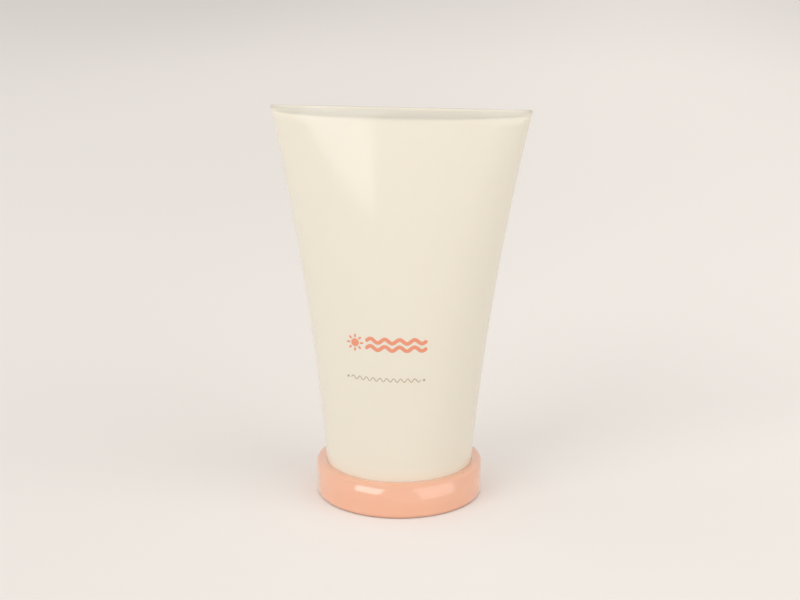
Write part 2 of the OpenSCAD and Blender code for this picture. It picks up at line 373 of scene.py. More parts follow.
@dataclass(frozen=True)
class PaperSweep:
    """Seamless pale paper under and behind the part, lifted where it is seen directly.

    A lift is light that is added over a span of the floor, and a span is in metres.
    """

    colour: Colour = seen(224, 219, 214)
    lift_colour: Colour = seen(255, 247, 240)
    lift: float = 0.155
    # The lifts below paint the light's uneven fall-off across the sweep: brighter further back and towards
    # the right, with painted shade in the far corners.
    lift_by: float = 0.05
    lift_behind: float = 0.086
    lift_right: float = 0.066
    corner_shade: float = -0.068
    by_span: Pair = (-0.1, 0.25)
    behind_span: Pair = (0.2, 0.9)
    right_span: Pair = (-0.15, 0.15)
    corner_span: Pair = (0.05, 0.4)
    corner_x: float = -0.05
    # Painted contact shadow: inside this span of radius round the cap's foot the lift fades out, which also
    # darkens the foot's reflection of the paper.
    contact_shadow: Pair = (0.0173, 0.0184)

    def build(self, name: str) -> bpy.types.Material:
        """Makes the paper, which keeps the part's shadow, with added light that paints the sweep's fall-off
        and a painted contact shadow round the cap's foot.
        """
        recipe = Recipe(name)
        tooth = recipe.noise(0.8, 3)
        paper = recipe.node(
            "BsdfPrincipled",
            Base_Color=linear(self.colour),
            Roughness=0.9,
            Specular_IOR_Level=0.1,
            Normal=recipe.relief([(tooth, 0.01)]),
        )
        path = recipe.node("LightPath")
        direct = self.pair(recipe, "MAXIMUM", path.outputs["Is Camera Ray"], path.outputs["Is Glossy Ray"])
        place_vector = recipe.places.outputs["Object"]
        place = recipe.node("SeparateXYZ", Vector=place_vector)
        by = self.ramp(recipe, place.outputs["Y"], self.by_span, self.lift_by)
        behind = self.ramp(recipe, place.outputs["Y"], self.behind_span, self.lift_behind)
        right = self.ramp(recipe, place.outputs["X"], self.right_span, self.lift_right)
        # Painted shade: the lift is lowered in the far corners, to both sides.
        aside = self.pair(recipe, "SUBTRACT", place.outputs["X"], self.corner_x)
        aside = self.pair(recipe, "ABSOLUTE", aside, 0.0)
        far = self.ramp(recipe, place.outputs["Y"], self.behind_span, 1.0)
        sideways = self.ramp(recipe, aside, self.corner_span, self.corner_shade)
        corners = self.pair(recipe, "MULTIPLY", far, sideways)
        level = self.pair(recipe, "ADD", by, self.lift)
        for part in (behind, right, corners):
            level = self.pair(recipe, "ADD", level, part)
        # Painted contact shadow: the lift is taken away close round the cap's foot.
        flat = recipe.node("VectorMath", Vector=place_vector)
        flat.operation = "LENGTH"
        clear = self.ramp(recipe, flat.outputs["Value"], self.contact_shadow, 1.0)
        level = self.pair(recipe, "MULTIPLY", level, clear)
        shown = self.pair(recipe, "MULTIPLY", direct, level)
        glow = recipe.node("Emission", Color=linear(self.lift_colour), Strength=shown)
        both = recipe.tree.nodes.new("ShaderNodeAddShader")
        recipe.feed(both.inputs[0], paper.outputs[0])
        recipe.feed(both.inputs[1], glow.outputs[0])
        return recipe.finish(both)

    @staticmethod
    def pair(
        recipe: Recipe, operation: str, first: bpy.types.NodeSocket, second: bpy.types.NodeSocket | float
    ) -> bpy.types.NodeSocket:
        """Puts two values through one sum."""
        made = recipe.node("Math")
        made.operation = operation
        recipe.feed(made.inputs[0], first)
        recipe.feed(made.inputs[1], second)
        return made.outputs[0]

    @staticmethod
    def ramp(recipe: Recipe, value: bpy.types.NodeSocket, span: Pair, height: float) -> bpy.types.NodeSocket:
        """Raises a smooth ramp over a span to a height."""
        made = recipe.ranged(value, span, (0.0, height))
        made.interpolation_type = "SMOOTHSTEP"
        return made.outputs["Result"]


# Meshes


def softened(corners: Sequence[tuple[float, float, float]], steps: int = 5) -> list[Pair]:
    """Rounds the corners of a closed outline.

    Args:
        corners: Each corner's two coordinates and the radius that rounds it.
        steps: Straight pieces in each rounded corner.

    Returns:
        The outline's points, in the same order.
    """
    points: list[Pair] = []
    count = len(corners)
    for i, (x, z, radius) in enumerate(corners):
        here = np.array((x, z))
        if radius <= 0:
            points.append((x, z))
            continue
        before = np.array(corners[i - 1][:2]) - here
        after = np.array(corners[(i + 1) % count][:2]) - here
        before = before / np.linalg.norm(before)
        after = after / np.linalg.norm(after)
        half = math.acos(max(-1.0, min(1.0, float(before @ after)))) / 2
        middle = before + after
        centre = here + middle / np.linalg.norm(middle) * radius / math.sin(half)
        start = here + before * radius / math.tan(half) - centre
        end = here + after * radius / math.tan(half) - centre
        first = math.atan2(start[1], start[0])
        sweep = (math.atan2(end[1], end[0]) - first + math.pi) % (2 * math.pi) - math.pi
        for step in range(steps + 1):
            angle = first + sweep * step / steps
            points.append((centre[0] + radius * math.cos(angle), centre[1] + radius * math.sin(angle)))
    return points


def arc(x: float, z: float, radius: float, start: float, end: float, steps: int) -> list[Pair]:
    """Gives points along an arc.

    Args:
        x: First coordinate of its centre.
        z: Second coordinate of its centre.
        radius: Its radius.
        start: Angle of its first point, in degrees.
        end: Angle of its last point, in degrees.
        steps: Straight pieces in the arc.

    Returns:
        The points, both ends among them.
    """
    angles = [math.radians(start + (end - start) * i / steps) for i in range(steps + 1)]
    return [(x + radius * math.cos(a), z + radius * math.sin(a)) for a in angles]


@dataclass
class Solid:
    """Points in millimetres and faces that together make one piece."""

    points: list[Point] = field(default_factory=list)
    faces: list[tuple[int, ...]] = field(default_factory=list)

    def loft(self, rows: Sequence[Row]) -> list[list[int]]:
        """Adds faces between closed rows of equally many points.

        Args:
            rows: The rows, one after another.

        Returns:
            The numbers of the points of each row.
        """
        numbered = []
        for row in rows:
            start = len(self.points)
            self.points.extend(row)
            numbered.append(list(range(start, start + len(row))))
        for low, high in zip(numbered, numbered[1:]):
            for k, here in enumerate(low):
                following = (k + 1) % len(low)
                self.faces.append((here, low[following], high[following], high[k]))
        return numbered

    def turn(self, outline: Sequence[Pair], count: int) -> None:
        """Turns an outline about Z into a ring or a disc.

        Args:
            outline: Radius and height of each point, where a radius of 0 is a pole.
            count: Faces round the axis.
        """
        poles: dict[int, int] = {}
        rings: dict[int, list[int]] = {}
        for i, (radius, z) in enumerate(outline):
            start = len(self.points)
            if radius <= 0:
                self.points.append((0.0, 0.0, z))
                poles[i] = start
                continue
            angles = angles_round(count)
            self.points.extend((radius * math.cos(a), radius * math.sin(a), z) for a in angles)
            rings[i] = list(range(start, start + count))
        for i in range(len(outline)):
            following = (i + 1) % len(outline)
            for k in range(count):
                after = (k + 1) % count
                if i in rings and following in rings:
                    low, high = rings[i], rings[following]
                    self.faces.append((low[k], low[after], high[after], high[k]))
                elif i in rings and following in poles:
                    self.faces.append((rings[i][k], rings[i][after], poles[following]))
                elif i in poles and following in rings:
                    self.faces.append((rings[following][after], rings[following][k], poles[i]))

    def close_flat(self, ring: Sequence[int]) -> None:
        """Closes a ring that mirrors itself in the XZ plane with strips across it."""
        count = len(ring)
        half = count // 2
        self.faces.append((ring[0], ring[1], ring[count - 1]))
        for k in range(1, half - 1):
            self.faces.append((ring[k], ring[k + 1], ring[count - k - 1], ring[count - k]))
        self.faces.append((ring[half - 1], ring[half], ring[half + 1]))

    def bar(self, rows: Sequence[Row]) -> None:
        """Adds a bar through closed rows, with a flat face at both ends."""
        numbered = self.loft(rows)
        self.faces.append(tuple(numbered[0]))
        self.faces.append(tuple(numbered[-1]))

    def mesh(self, name: str, sharp_above: float = SHARP_ABOVE) -> bpy.types.Object:
        """Writes the solid as an object in metres, smooth but for its sharp edges.

        Args:
            name: Name of the object.
            sharp_above: Angle between faces, in degrees, above which their edge stays sharp.

        Returns:
            The new object, linked to the scene.
        """
        data = bpy.data.meshes.new(name)
        data.from_pydata([tuple(c * MM for c in p) for p in self.points], [], self.faces)
        made = bpy.data.objects.new(name, data)
        bpy.context.scene.collection.objects.link(made)
        smooth(made, sharp_above)
        return made


def smooth(piece: bpy.types.Object, sharp_above: float) -> None:
    """Turns a piece's faces outwards and shades it smooth but for its sharp edges.

    Args:
        piece: The object to treat.
        sharp_above: Angle between faces, in degrees, above which their edge stays sharp.
    """
    work = bmesh.new()
    work.from_mesh(piece.data)
    bmesh.ops.remove_doubles(work, verts=work.verts, dist=1e-4 * MM)
    bmesh.ops.recalc_face_normals(work, faces=work.faces)
    for face in work.faces:
        face.smooth = True
    limit = math.radians(sharp_above)
    for edge in work.edges:
        edge.smooth = len(edge.link_faces) == 2 and edge.calc_face_angle(0.0) < limit
    work.to_mesh(piece.data)
    work.free()
    piece.data.update()


def turned(name: str, outline: Sequence[Pair], count: int) -> bpy.types.Object:
    """Makes an object by turning an outline about Z, with a number of faces round it."""
    solid = Solid()
    solid.turn(outline, count)
    return solid.mesh(name)


def lean_shading(piece: bpy.types.Object, leaning: Callable[[Point], Point | None]) -> None:
    """Leans the shading of a piece's outside where a rule says so, and leaves the rest as it is.

    Args:
        piece: The object to change, a body that surrounds the Z axis.
        leaning: Gives the direction to shade with at a place in millimetres, or nothing.
    """
    data = piece.data
    normals = [Vector((0, 0, 0))] * len(data.loops)
    under, over = -0.1, 0.5
    for face in data.polygons:
        outwards = face.normal.x * face.center.x + face.normal.y * face.center.y
        if face.normal.z < under or (outwards < 0 and face.normal.z < over):
            continue
        for loop in face.loop_indices:
            place = data.vertices[data.loops[loop].vertex_index].co / MM
            lean = leaning((place.x, place.y, place.z))
            if lean is not None:
                normals[loop] = Vector(lean).normalized()
    data.normals_split_custom_set(normals)


def fuse(base: bpy.types.Object, tools: Sequence[bpy.types.Object]) -> None:
    """Joins solids into one, and removes the solids that were used up.

    Args:
        base: The piece that is kept and changed.
        tools: The solids to join to it.
    """
    for tool in tools:
        step = base.modifiers.new("fuse", "BOOLEAN")
        step.operation = "UNION"
        step.solver = "EXACT"
        step.object = tool
    bpy.context.view_layer.update()
    result = bpy.data.meshes.new_from_object(base.evaluated_get(bpy.context.evaluated_depsgraph_get()))
    base.modifiers.clear()
    spent = base.data
    base.data = result
    bpy.data.meshes.remove(spent)
    for tool in tools:
        bpy.data.objects.remove(tool)
    result.name = base.name


def dress(
    piece: bpy.types.Object,
    material: bpy.types.Material,
    body: Body,
    stands_for: str | None = None,
) -> bpy.types.Object:
    """Gives a piece its material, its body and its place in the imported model.

    Args:
        piece: The finished object.
        material: What it is made of.
        body: The body that it rides on.
        stands_for: The node that it is shown in place of, if any.

    Returns:
        The same object.
    """
    piece.data.materials.clear()
    piece.data.materials.append(material)
    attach(piece, body.value)
    if stands_for is not None:
        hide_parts(stands_for)
    LOG.info("%s: %d faces, on %s", piece.name, len(piece.data.polygons), body.value)
    return piece


# Sizes that several pieces share


@dataclass(frozen=True)
class Fits:
    """Driving sizes and clearances, from which the pieces take their places."""

    tube_d: float = 31.8
    sleeve_wall: float = 0.7
    cap_h: float = 7.6
    cap_wall: float = 2.0
    cap_dish: float = 0.4
    cap_plate_t: float = 1.1
    insert_wall: float = 1.6
    insert_floor: float = 0.8
    insert_gap: float = 0.5
    liner_t: float = 0.8
    liner_gap: float = 0.3
    foil_t: float = 0.12
    tube_entry: float = 1.3
    shoulder_lift: float = 3.2
    shoulder_t: float = 1.0
    shoulder_w: float = 5.5
    skirt_wall: float = 0.8
    skirt_h: float = 2.0
    neck_wall: float = 1.7
    neck_ledge: float = 0.6
    orifice_len: float = 3.2
    orifice_set: float = 0.4
    orifice_disc_t: float = 1.0
    orifice_wall: float = 0.9
    thread_pitch: float = 2.0
    thread_h: float = 0.8
    thread_foot_w: float = 0.95
    thread_crest_w: float = 0.4
    thread_lead: float = 0.2
    ring_gap: float = 0.1
    thread_gap: float = 0.3
    face_gap: float = 0.04
    bond_gap: float = 0.06
    lotion_gap: float = 0.15

    @property
    def tube_r(self) -> float:
        """Outer radius of the tube where it enters the cap."""
        return self.tube_d / 2

    @property
    def cap_bore_r(self) -> float:
        """Inner radius of the cap's ring."""
        return self.tube_r + self.ring_gap

    @property
    def cap_r(self) -> float:
        """Outer radius of the cap."""
        return self.cap_bore_r + self.cap_wall

    @property
    def plate_top(self) -> float:
        """Height of the inside of the cap's end plate."""
        return self.cap_dish + self.cap_plate_t

    @property
    def liner_z(self) -> float:
        """Height of the underside of the foam disc."""
        return self.plate_top + self.insert_floor + self.face_gap

    @property
    def foil_z(self) -> float:
        """Height of the underside of the foil."""
        return self.liner_z + self.liner_t + self.face_gap

    @property
    def lip_z(self) -> float:
        """Height of the lip of the neck, which points down."""
        return self.foil_z + self.foil_t

    @property
    def sleeve_z(self) -> float:
        """Height of the open end of the tube."""
        return self.cap_h - self.tube_entry

    @property
    def shoulder_z(self) -> float:
        """Height of the outer face of the shoulder plate."""
        return self.sleeve_z + self.shoulder_lift

    @property
    def shoulder_top(self) -> float:
        """Height of the inner face of the shoulder plate."""
        return self.shoulder_z + self.shoulder_t

    @property
    def insert_top(self) -> float:
        """Height of the rim of the threaded insert."""
        return self.shoulder_z - self.insert_gap

    @property
    def neck_r(self) -> float:
        """Outer radius of the neck."""
        return self.tube_r - self.shoulder_w

    @property
    def neck_bore_r(self) -> float:
        """Radius of the bore that the orifice insert is pressed into."""
        return self.neck_r - self.neck_wall

    @property
    def ledge_r(self) -> float:
        """Radius of the bore above the ledge."""
        return self.neck_bore_r - self.neck_ledge

    @property
    def plug_r(self) -> float:
        """Outer radius of the orifice insert."""
        return self.neck_bore_r - self.bond_gap

    @property
    def plug_bore_r(self) -> float:
        """Inner radius of the orifice insert's skirt."""
        return self.plug_r - self.orifice_wall

    @property
    def insert_bore_r(self) -> float:
        """Inner radius of the threaded insert."""
        return self.neck_r + self.thread_h + self.thread_gap

    @property
    def insert_r(self) -> float:
        """Outer radius of the threaded insert."""
        return self.insert_bore_r + self.insert_wall

    @property
    def skirt_r(self) -> float:
        """Outer radius of the skirt that is welded into the tube."""
        return self.tube_r - self.sleeve_wall - self.bond_gap

    @property
    def thread_low(self) -> float:
        """Height of the middle of both ridges where they start."""
        return self.lip_z + self.thread_lead + self.thread_foot_w / 2

    def thread_turns(self, end: float) -> float:
        """Turns that a ridge makes from its start until its foot ends at a height."""
        return (end - self.thread_foot_w / 2 - self.thread_low) / self.thread_pitch


@dataclass(frozen=True)
class TubeShape:
    """The tube's skin as a rule: an oval at each height, from the round end to the sealed edge."""

    fits: Fits
    total_h: float = 84.4
    tail_w: float = 55.1
    tail_depth: float = 17.6
    tail_rise: float = 1.3
    seal_t: float = 1.0
    seal_h: float = 0.5
    tail_round: float = 1.2
    tail_turn: float = 75.0
    tail_squash: float = 0.6
    rim_swell: float = 0.1
    close_line: float = 0.6
    weld_clear: float = 0.1
    weld_inset: float = 1.6
    weld_slit: float = 0.08
    weld_square: float = 0.35
    edge_round: float = 0.14
    edge_share: float = 0.4
    flare_sunk: float = 0.2
    flare_straight: float = 0.56
    flatten_power: float = 3.0
    side_edge: float = 0.12
    tail_lean: Pair = (13.0, 27.0)
    around: int = 288
    body_rings: int = 72
    round_rings: int = 10
    close_rings: int = 16

    @property
    def flare_z(self) -> float:
        """Height at which the tube starts to widen."""
        return self.fits.cap_h - self.flare_sunk

    def rise(self, z: float) -> float:
        """Share of the way from the round end to the sealed edge."""
        return max(0.0, (z - self.flare_z) / (self.total_h - self.flare_z))

    def half_width(self, t: float) -> float:
        """Half the width at a share of the way up."""
        tail_r = self.tail_w / 2
        bend = self.flare_straight * t + (1 - self.flare_straight) * t * t
        return self.fits.tube_r + (tail_r - self.fits.tube_r) * bend

    def half_depth(self, t: float) -> float:
        """Half the depth at a share of the way up."""
        return self.fits.tube_r - (self.fits.tube_r - self.tail_depth / 2) * t**self.flatten_power

    def oval(self, half_w: float, half_d: float, power: float, z: float) -> Row:
        """Gives one closed row of points.

        Args:
            half_w: Half its width.
            half_d: Half its depth.
            power: 1 for an ellipse, more to draw its sides in and less to square them.
            z: Its height.

        Returns:
            The points, the first at +X.
        """
        row = []
        for u in angles_round(self.around):
            s = math.sin(u)
            row.append((half_w * math.cos(u), half_d * math.copysign(abs(s) ** power, s), z))
        return row

    def wall(self, z_low: float, z_high: float, inset: float, count: int) -> list[Row]:
        """Gives rows that follow the skin between two heights, inset inside it."""
        rows = []
        for i in range(count + 1):
            z = z_low + (z_high - z_low) * i / count
            t = self.rise(z)
            half_w, half_d = self.half_width(t) - inset, self.half_depth(t) - inset
            rows.append(self.oval(half_w, half_d, 1 + self.side_edge * t, z))
        return rows

    def skin(self, z_low: float, inset: float) -> list[Row]:
        """Gives rows from the open end over the swelling to the closed top.

        Args:
            z_low: Height of the open end.
            inset: Distance inside the outer face.

        Returns:
            The rows, from the lowest to the top.
        """
        z_top = self.total_h - inset * self.weld_inset
        z_rim = self.total_h - self.seal_h - self.tail_rise - inset
        t_rim = self.rise(z_rim)
        a_rim = self.half_width(t_rim) - inset
        b_rim = self.half_depth(t_rim) - inset
        a_top = self.tail_w / 2 - inset
        b_top = max(self.seal_t / 2 - inset, self.weld_slit)
        z_weld = max(z_top - self.seal_h, z_rim + self.tail_round + self.weld_clear)
        power_rim = 1 + self.side_edge * t_rim
        turn = math.radians(self.tail_turn)
        b_from = b_rim - self.tail_round * (1 - math.cos(turn))
        z_from = z_rim + self.tail_round * self.tail_squash * math.sin(turn)
        rows = [self.oval(self.fits.tube_r - inset, self.fits.tube_r - inset, 1, z_low)]
        rows += self.wall(self.flare_z, z_rim, inset, self.body_rings)
        for i in range(1, self.round_rings + 1):
            u = turn * i / self.round_rings
            fall = 1 - math.cos(u)
            z = z_rim + self.tail_round * self.tail_squash * math.sin(u)
            half_w, half_d = a_rim + self.rim_swell * fall, b_rim - self.tail_round * fall
            rows.append(self.oval(half_w, half_d, power_rim, z))
        for i in range(1, self.close_rings + 1):
            s = i / self.close_rings
            power = power_rim + (self.weld_square - power_rim) * s * s
            z = z_from + (z_weld - z_from) * (self.close_line * s + (1 - self.close_line) * s**3)
            rows.append(self.oval(a_rim + (a_top - a_rim) * s, b_from + (b_top - b_from) * s, power, z))
        edge = min(self.edge_round, b_top / 2, (z_top - z_weld) * self.edge_share)
        for angle in (0, 30, 60, 90):
            inward = edge * (1 - math.cos(math.radians(angle)))
            z = z_top - edge * (1 - math.sin(math.radians(angle)))
            rows.append(self.oval(a_top - inward, b_top - inward, self.weld_square, z))
        return rows

    def tail_shading(self, place: Point) -> Point | None:
        """Gives the direction that the closed tail is shaded with at a place.

        The weld draws the wall over in one soft sweep, so its shading leans on evenly to the edge.

        Args:
            place: A place on the skin, in millimetres.

        Returns:
            The direction, or nothing below the swelling.
        """
        x, y, z = place
        z_rim = self.total_h - self.seal_h - self.tail_rise
        if z < z_rim - HAIR:
            return None
        t_rim = self.rise(z_rim)
        half_w, half_d = self.half_width(t_rim), self.half_depth(t_rim)
        across = max(-0.999, min(0.999, x / (self.tail_w / 2)))
        deep = math.sqrt(1 - across * across)
        level = math.hypot(half_d * across, half_w * deep)
        share = max(0.0, min(1.0, 1 - abs(y) / max(self.seal_t / 2, half_d * deep)))
        lean = math.radians(self.tail_lean[0] + (self.tail_lean[1] - self.tail_lean[0]) * share)
        side = math.cos(lean) / level
        return (half_d * across * side, math.copysign(half_w * deep * side, y), math.sin(lean))

    def front(self, x: float, z: float, height: float = 0.0) -> Point:
        """Gives the point of the printed front at a place across and up, lifted off the skin.

        Args:
            x: Distance to the right of the middle.
            z: Height above the floor.
            height: Distance off the skin, less than 0 for under it.

        Returns:
            The point.
        """
        here = np.array(self._front_skin(x, z))
        step = 0.01
        across = np.array(self._front_skin(x + step, z)) - here
        up = np.array(self._front_skin(x, z + step)) - here
        normal = np.cross(across, up)
        moved = here + normal / np.linalg.norm(normal) * height
        return (float(moved[0]), float(moved[1]), float(moved[2]))

    def _front_skin(self, x: float, z: float) -> Point:
        """Gives the point of the skin's front at a place across and up."""
        t = self.rise(z)
        across = max(-1.0, min(1.0, x / self.half_width(t)))
        deep = math.sqrt(1 - across * across) ** (1 + self.side_edge * t)
        return (x, -self.half_depth(t) * deep, z)


def thread_ridge(fits: Fits, wall_r: float, side: Side, turns: float, first_angle: float) -> Solid:
    """Makes a helical ridge that grows out of its wall at both ends.

    Args:
        fits: The shared sizes.
        wall_r: Radius of the wall that it stands on.
        side: Which way it stands off the wall.
        turns: Its length in turns.
        first_angle: Where it starts, in degrees.

    Returns:
        The closed ridge, sunk a little into its wall.
    """
    steps = math.ceil(turns * RIDGE_STEPS)
    fade = 30.0
    sunk_foot, sunk_end, soft = 0.3, 0.05, 0.12
    foot = fits.thread_foot_w / 2
    crest = fits.thread_crest_w / 2
    solid = Solid()
    rows = []
    for i in range(steps + 1):
        angle = 360 * turns * i / steps
        grown = eased(min(angle, 360 * turns - angle) / fade)
        z = fits.thread_low + fits.thread_pitch * angle / 360
        r_foot = wall_r - side.value * sunk_foot
        r_crest = wall_r + side.value * (fits.thread_h * grown - sunk_end * (1 - grown))
        corners = [(r_foot, -foot, 0), (r_crest, -crest, soft), (r_crest, crest, soft), (r_foot, foot, 0)]
        section = softened(corners, 3)
        a = math.radians(first_angle + angle)
        rows.append([(r * math.cos(a), r * math.sin(a), z + h) for r, h in section])
    solid.bar(rows)
    return solid


# Sub-assemblies


@dataclass
class CapAssembly:
    """The low screw cap: peach outer shell, threaded insert and foam disc."""

    fits: Fits
    top_round: float = 0.7
    foot_round: float = 0.8
    foot_w: float = 2.6
    lean_from: float = 3.7
    lean_from_right: float = 1.9
    lean_to: float = 38.0
    lean_early: float = 0.55
    right_from: float = -5.0
    right_over: float = 25.0
    lip_gap: float = 0.04
    lip_w: float = 0.2
    lip_h: float = 0.4
    lip_foot: float = 0.8
    thread_stop: float = 0.3
    rib_count: int = 12
    rib_t: float = 1.0
    around: int = 256
    side_steps: int = 24
    insert_around: int = 192
    liner_around: int = 160

    def build(self) -> None:
        """Makes the cap's three pieces."""
        self.shell()
        self.insert()
        self.liner()

    def side_outline(self) -> list[Pair]:
        """Gives the outside of the cap's ring, from the floor up and over its lip.

        Returns:
            Radius and height of each point.
        """
        fits = self.fits
        foot = arc(fits.cap_r - self.foot_round, self.foot_round, self.foot_round, -90, 0, 10)
        straight = fits.cap_h - self.top_round - self.foot_round
        steps = self.side_steps
        side = [(fits.cap_r, self.foot_round + straight * i / steps) for i in range(1, steps)]
        top = arc(fits.cap_r - self.top_round, fits.cap_h - self.top_round, self.top_round, 0, 90, 12)
        return foot + side + top

    def side_shading(self, place: Point) -> Point | None:
        """Gives the direction that the ring's outside is shaded with at a place.

        The straight side melts into the rounded edge above it, as polished mouldings do, and
        sooner on the front's right.

        Args:
            place: A place on the ring, in millimetres.

        Returns:
            The direction, or nothing where the face shades as it is.
        """
        fits = self.fits
        x, y, z = place
        radius = math.hypot(x, y)
        if radius < fits.cap_bore_r + self.lip_w or z < self.foot_round:
            return None
        azimuth = math.degrees(math.atan2(x, -y))
        turn_z = fits.cap_h - self.top_round
        if z <= turn_z:
            near = (azimuth - self.right_from) / self.right_over
            if azimuth >= 90:
                near = 1 - (azimuth - 90) / self.right_over
            start = self.lean_from + (self.lean_from_right - self.lean_from) * eased(near)
            share = max(0.0, (z - start) / (turn_z - start))
            lean = self.lean_to * share * (self.lean_early + (1 - self.lean_early) * share)
        else:
            out = max(0.0, min(1.0, (radius - (fits.cap_r - self.top_round)) / self.top_round))
            lean = self.lean_to + (90 - self.lean_to) * math.acos(out) / (math.pi / 2)
        level = math.cos(math.radians(lean)) / radius
        return (x * level, y * level, math.sin(math.radians(lean)))

    def shell(self) -> bpy.types.Object:
        """Makes the outer shell: ring, end plate with its dish and gate mark, and ribs."""
        fits = self.fits
        bore = fits.cap_bore_r
        lip = fits.tube_r + self.lip_gap
        foot_inner = fits.cap_r - self.foot_round - self.foot_w
        gate_r, gate_depth, dish_slope = 1.3, 0.12, 0.25
        bevel_w, bevel_h = 0.1, 0.06
        under = softened(
            [
                (0.0, fits.cap_dish - gate_depth, 0),
                (gate_r, fits.cap_dish - gate_depth, 0.08),
                (gate_r + 0.05, fits.cap_dish, 0.05),
                (foot_inner - dish_slope, fits.cap_dish, 0.15),
                (foot_inner, 0.0, 0.15),
                (fits.cap_r - self.foot_round, 0.0, 0),
            ]
        )[:-1]
        inside = softened(
            [
                (lip + bevel_w, fits.cap_h, 0),
                (lip, fits.cap_h - bevel_h, 0.04),
                (lip, fits.cap_h - self.lip_h, 0),
                (bore, fits.cap_h - self.lip_foot, 0),
                (bore, fits.plate_top, 0.35),
                (0.0, fits.plate_top, 0),
            ]
        )[1:]
        shell = turned("outer_cap", under + self.side_outline() + inside, self.around)
        fuse(shell, [self.rib(i) for i in range(self.rib_count)])
        smooth(shell, SHARP_ABOVE)
        lean_shading(shell, self.side_shading)
        return dress(shell, GlossMoulding().build("peach_gloss"), Body.CAP, "cap_shell")

    def rib(self, index: int) -> bpy.types.Object:
        """Makes one rib between the ring and the threaded insert.

        Args:
            index: Its number round the cap.

        Returns:
            The rib as a solid of its own.
        """
        fits = self.fits
        sunk = 0.3
        inner = fits.insert_r + fits.bond_gap
        outer = fits.cap_bore_r + sunk
        low = fits.plate_top - sunk
        high = fits.sleeve_z - fits.insert_gap
        half = self.rib_t / 2
        outline = softened([(-half, low, 0), (half, low, 0), (half, high, 0.25), (-half, high, 0.25)], 4)
        angle = 2 * math.pi * (index + 0.5) / self.rib_count
        across, along = math.cos(angle), math.sin(angle)
        rows = [
            [(r * across - y * along, r * along + y * across, z) for y, z in outline] for r in (inner, outer)
        ]
        solid = Solid()
        solid.bar(rows)
        return solid.mesh(f"rib_{index}")

    def insert(self) -> bpy.types.Object:
        """Makes the threaded cup that the cap is screwed on by."""
        fits = self.fits
        low = fits.plate_top
        floor = low + fits.insert_floor
        outline = softened(
            [
                (0.0, low, 0),
                (fits.insert_r, low, 0.2),
                (fits.insert_r, fits.insert_top, 0.25),
                (fits.insert_bore_r, fits.insert_top, 0.35),
                (fits.insert_bore_r, floor, 0.2),
                (0.0, floor, 0),
            ]
        )
        cup = turned("cap_thread_cup", outline, self.insert_around)
        turns = fits.thread_turns(fits.insert_top - self.thread_stop)
        ridge = thread_ridge(fits, fits.insert_bore_r, Side.INWARDS, turns, 180)
        fuse(cup, [ridge.mesh("cup_ridge")])
        smooth(cup, SHARP_ABOVE)
        finish = PlainMoulding(seen(240, 238, 231), seen(232, 229, 221))
        return dress(cup, finish.build("insert_plastic"), Body.CAP, "cap_insert")

    def liner(self) -> bpy.types.Object:
        """Makes the foam disc, with the ring that the lip of the neck has pressed into it."""
        fits = self.fits
        radius = fits.insert_bore_r - fits.liner_gap
        top = fits.liner_z + fits.liner_t
        press, slope = 0.09, 0.15
        outline = softened(
            [
                (0.0, fits.liner_z, 0),
                (radius, fits.liner_z, 0.12),
                (radius, top, 0.15),
                (fits.neck_r + slope, top, 0.08),
                (fits.neck_r, top - press, 0.08),
                (fits.neck_bore_r, top - press, 0.08),
                (fits.neck_bore_r - slope, top, 0.08),
                (0.0, top, 0),
            ]
        )
        disc = turned("foam_liner", outline, self.liner_around)
        return dress(disc, Foam().build("liner_foam"), Body.LINER, "cap_liner")


